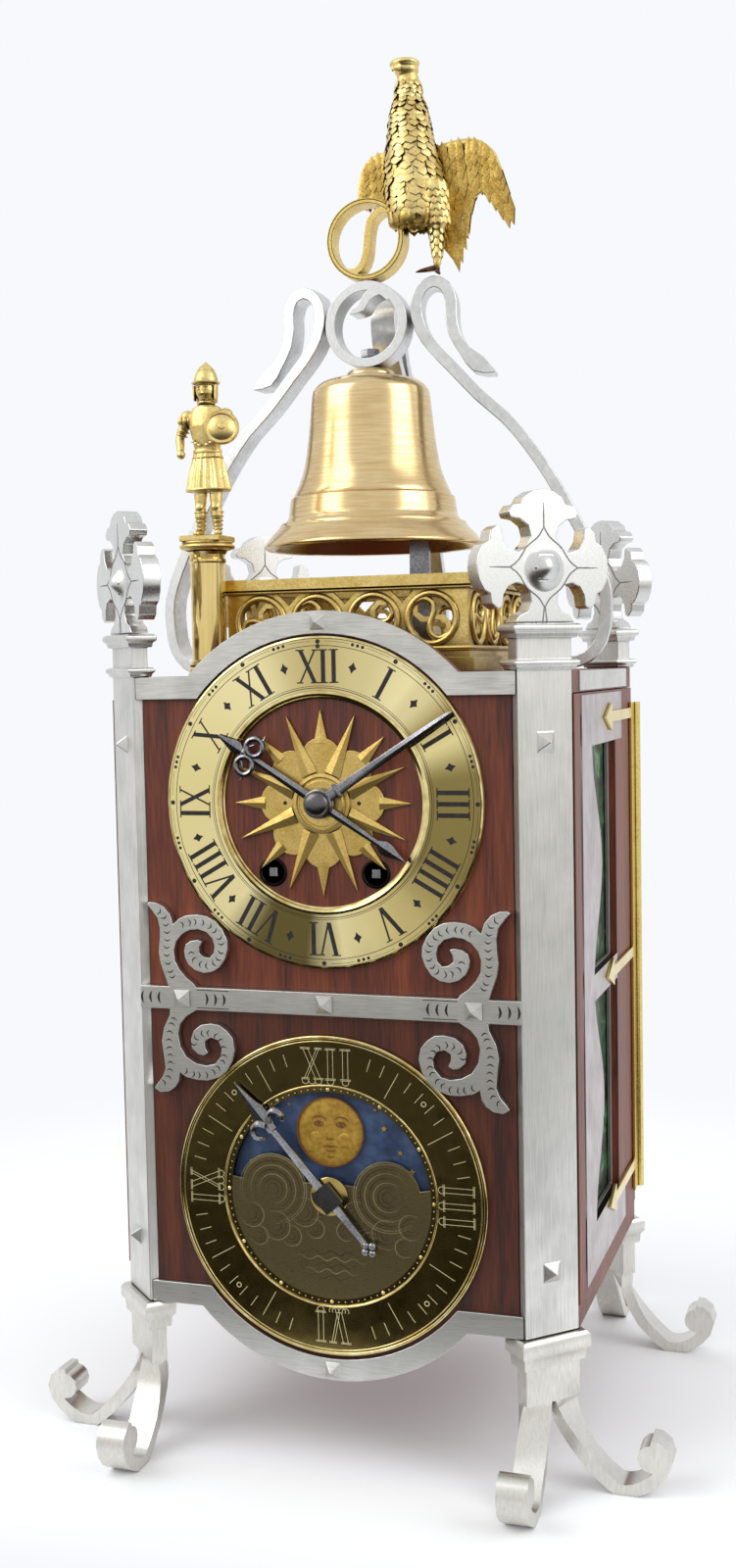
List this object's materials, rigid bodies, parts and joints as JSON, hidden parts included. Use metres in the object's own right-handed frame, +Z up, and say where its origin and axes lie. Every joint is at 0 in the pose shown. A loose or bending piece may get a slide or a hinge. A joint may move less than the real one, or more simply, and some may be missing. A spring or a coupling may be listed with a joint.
{
  "type": "tower_table_clock",
  "caption": "Tower table clock with silvered corner posts, mahogany case, brass hour dial, moon dial, green glass side doors, open crown with bell, gilt eagle and soldier",
  "frame": {"origin": "On the table under the middle of the clock's plan, midway between the four feet", "axes": "+X to the right as seen from the front, +Y to the back (the dials face -Y), +Z up along the clock's height"},
  "size_m": [0.2876, 0.2656, 0.6177],
  "materials": {
    "silvered_metal": "satin brushed nickel silver",
    "polished_brass": "polished and lacquered",
    "gilt_brass": "matt gilt casting",
    "bell_bronze": "turned satin bronze with a polished lip",
    "polished_steel": "dark polished steel",
    "mahogany": "red-brown, french polished",
    "green_glass": "textured green cathedral glass",
    "painted_night_sky": "blue paint with gilt stars and moons"
  },
  "bodies": {
    "case": {"front_right_pillar": "silvered_metal", "front_right_finial": "silvered_metal", "front_right_foot": "silvered_metal", "front_left_pillar": "silvered_metal", "front_left_finial": "silvered_metal", "front_left_foot": "silvered_metal", "rear_right_pillar": "silvered_metal", "rear_right_finial": "silvered_metal", "rear_right_foot": "silvered_metal", "rear_left_pillar": "silvered_metal", "rear_left_finial": "silvered_metal", "rear_left_foot": "silvered_metal", "top_rail": "silvered_metal", "bottom_rail": "silvered_metal", "middle_strap": "silvered_metal", "front_panel": "mahogany", "rear_panel": "mahogany", "base_board": "mahogany", "roof_board": "mahogany", "chapter_ring": "polished_brass", "moon_chapter_ring": "polished_brass", "sunburst": "gilt_brass", "cloud_plate": "gilt_brass", "right_hinge_pin": "polished_brass", "left_hinge_pin": "polished_brass", "gallery": "gilt_brass", "column": "polished_brass", "soldier": "gilt_brass", "bell": "bell_bronze", "crown_ring": "silvered_metal", "bell_bolt": "polished_steel", "gilt_scroll_ring": "gilt_brass", "eagle": "gilt_brass", "crown_right_arm": "silvered_metal", "crown_left_arm": "silvered_metal", "crown_rear_arm": "silvered_metal", "movement_front_plate": "polished_brass", "movement_back_plate": "polished_brass"},
    "minute_work": {"minute_hand": "polished_steel", "hand_nut": "polished_steel", "cannon_pinion": "polished_steel"},
    "minute_wheel": {"minute_wheel": "polished_brass"},
    "hour_work": {"hour_hand": "polished_steel", "hour_wheel": "polished_brass"},
    "moon_hand": {"moon_hand": "polished_steel"},
    "moon_disc": {"moon_disc": "painted_night_sky"},
    "going_barrel": {"going_barrel": "polished_brass"},
    "strike_barrel": {"strike_barrel": "polished_brass"},
    "going_arbor": {"going_winding_arbor": "polished_steel"},
    "strike_arbor": {"strike_winding_arbor": "polished_steel"},
    "pendulum": {"pendulum": "polished_brass"},
    "bell_hammer": {"bell_hammer": "polished_steel"},
    "right_door": {"right_door_frame": "mahogany", "right_tracery": "silvered_metal", "right_glass": "green_glass", "right_door_straps": "polished_brass"},
    "left_door": {"left_door_frame": "mahogany", "left_tracery": "silvered_metal", "left_glass": "green_glass", "left_door_straps": "polished_brass"}
  },
  "joints": [
    {"name": "minute_hand", "type": "hinge", "parent": "case", "child": "minute_work", "pos_m": [0, -0.09, 0.2889], "axis": [0, 1, 0], "continuous": true},
    {"name": "minute_wheel", "type": "hinge", "parent": "case", "child": "minute_wheel", "pos_m": [0.006, -0.076, 0.27851], "axis": [0, 1, 0], "continuous": true},
    {"name": "hour_hand", "type": "hinge", "parent": "case", "child": "hour_work", "pos_m": [0, -0.09, 0.2889], "axis": [0, 1, 0], "continuous": true},
    {"name": "moon_hand", "type": "hinge", "parent": "case", "child": "moon_hand", "pos_m": [0, -0.09, 0.1201], "axis": [0, 1, 0], "continuous": true},
    {"name": "moon_disc", "type": "hinge", "parent": "case", "child": "moon_disc", "pos_m": [0, -0.088, 0.1201], "axis": [0, 1, 0], "continuous": true},
    {"name": "going_barrel", "type": "hinge", "parent": "case", "child": "going_barrel", "pos_m": [0.02305, -0.055, 0.2592], "axis": [0, 1, 0], "range_deg": [0, 1980]},
    {"name": "strike_barrel", "type": "hinge", "parent": "case", "child": "strike_barrel", "pos_m": [-0.02305, -0.055, 0.2592], "axis": [0, 1, 0], "range_deg": [0, 1980]},
    {"name": "going_winding", "type": "hinge", "parent": "case", "child": "going_arbor", "pos_m": [0.02305, -0.085, 0.2592], "axis": [0, 1, 0], "range_deg": [0, 1980]},
    {"name": "strike_winding", "type": "hinge", "parent": "case", "child": "strike_arbor", "pos_m": [-0.02305, -0.085, 0.2592], "axis": [0, 1, 0], "range_deg": [0, 1980]},
    {"name": "pendulum_swing", "type": "hinge", "parent": "case", "child": "pendulum", "pos_m": [0, -0.028, 0.316], "axis": [0, 1, 0], "range_deg": [-4, 4]},
    {"name": "hammer_swing", "type": "hinge", "parent": "case", "child": "bell_hammer", "pos_m": [0.024, -0.0187, 0.296], "axis": [0, 1, 0], "range_deg": [-12, 0.6]},
    {"name": "right_door_hinge", "type": "hinge", "parent": "case", "child": "right_door", "pos_m": [0.10683, 0.0748, 0.2046], "axis": [0, 0, 1], "range_deg": [0, 110]},
    {"name": "left_door_hinge", "type": "hinge", "parent": "case", "child": "left_door", "pos_m": [-0.10683, 0.0748, 0.2046], "axis": [0, 0, -1], "range_deg": [0, 110]}
  ],
  "couplings": [
    {"joint": "minute_wheel", "follows": "minute_hand", "ratio": -0.33333},
    {"joint": "hour_hand", "follows": "minute_hand", "ratio": 0.083333},
    {"joint": "moon_disc", "follows": "moon_hand", "ratio": 0.5}
  ]
}
